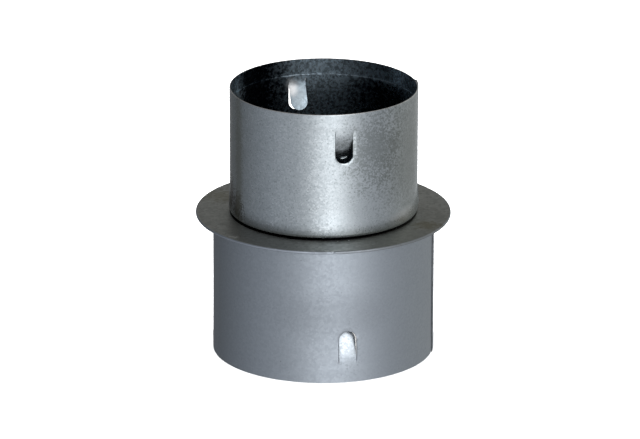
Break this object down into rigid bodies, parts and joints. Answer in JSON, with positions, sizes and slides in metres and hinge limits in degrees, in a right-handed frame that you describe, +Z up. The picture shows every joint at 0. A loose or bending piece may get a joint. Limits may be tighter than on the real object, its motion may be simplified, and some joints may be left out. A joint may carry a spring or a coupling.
{
  "type": "duct reducer",
  "caption": "Round duct reducer of galvanised sheet: a narrow socket above a wider one, both with lanced tongues, held together by a flat ring.",
  "frame": {"origin": "centre of the wide collar's foot, on the surface that the reducer stands on", "axes": "+Z up along the duct's axis towards the narrow socket, -Y towards the front tongues, +X towards the lap seams"},
  "size_m": [0.1524, 0.1524, 0.1639],
  "materials": {
    "collar_sheet": "hot-dip galvanised, satin",
    "ring_sheet": "hot-dip galvanised, satin, slightly stained"
  },
  "bodies": {
    "root": {"upper_collar": "collar_sheet", "flange_ring": "ring_sheet", "lower_collar": "collar_sheet"}
  },
  "joints": []
}
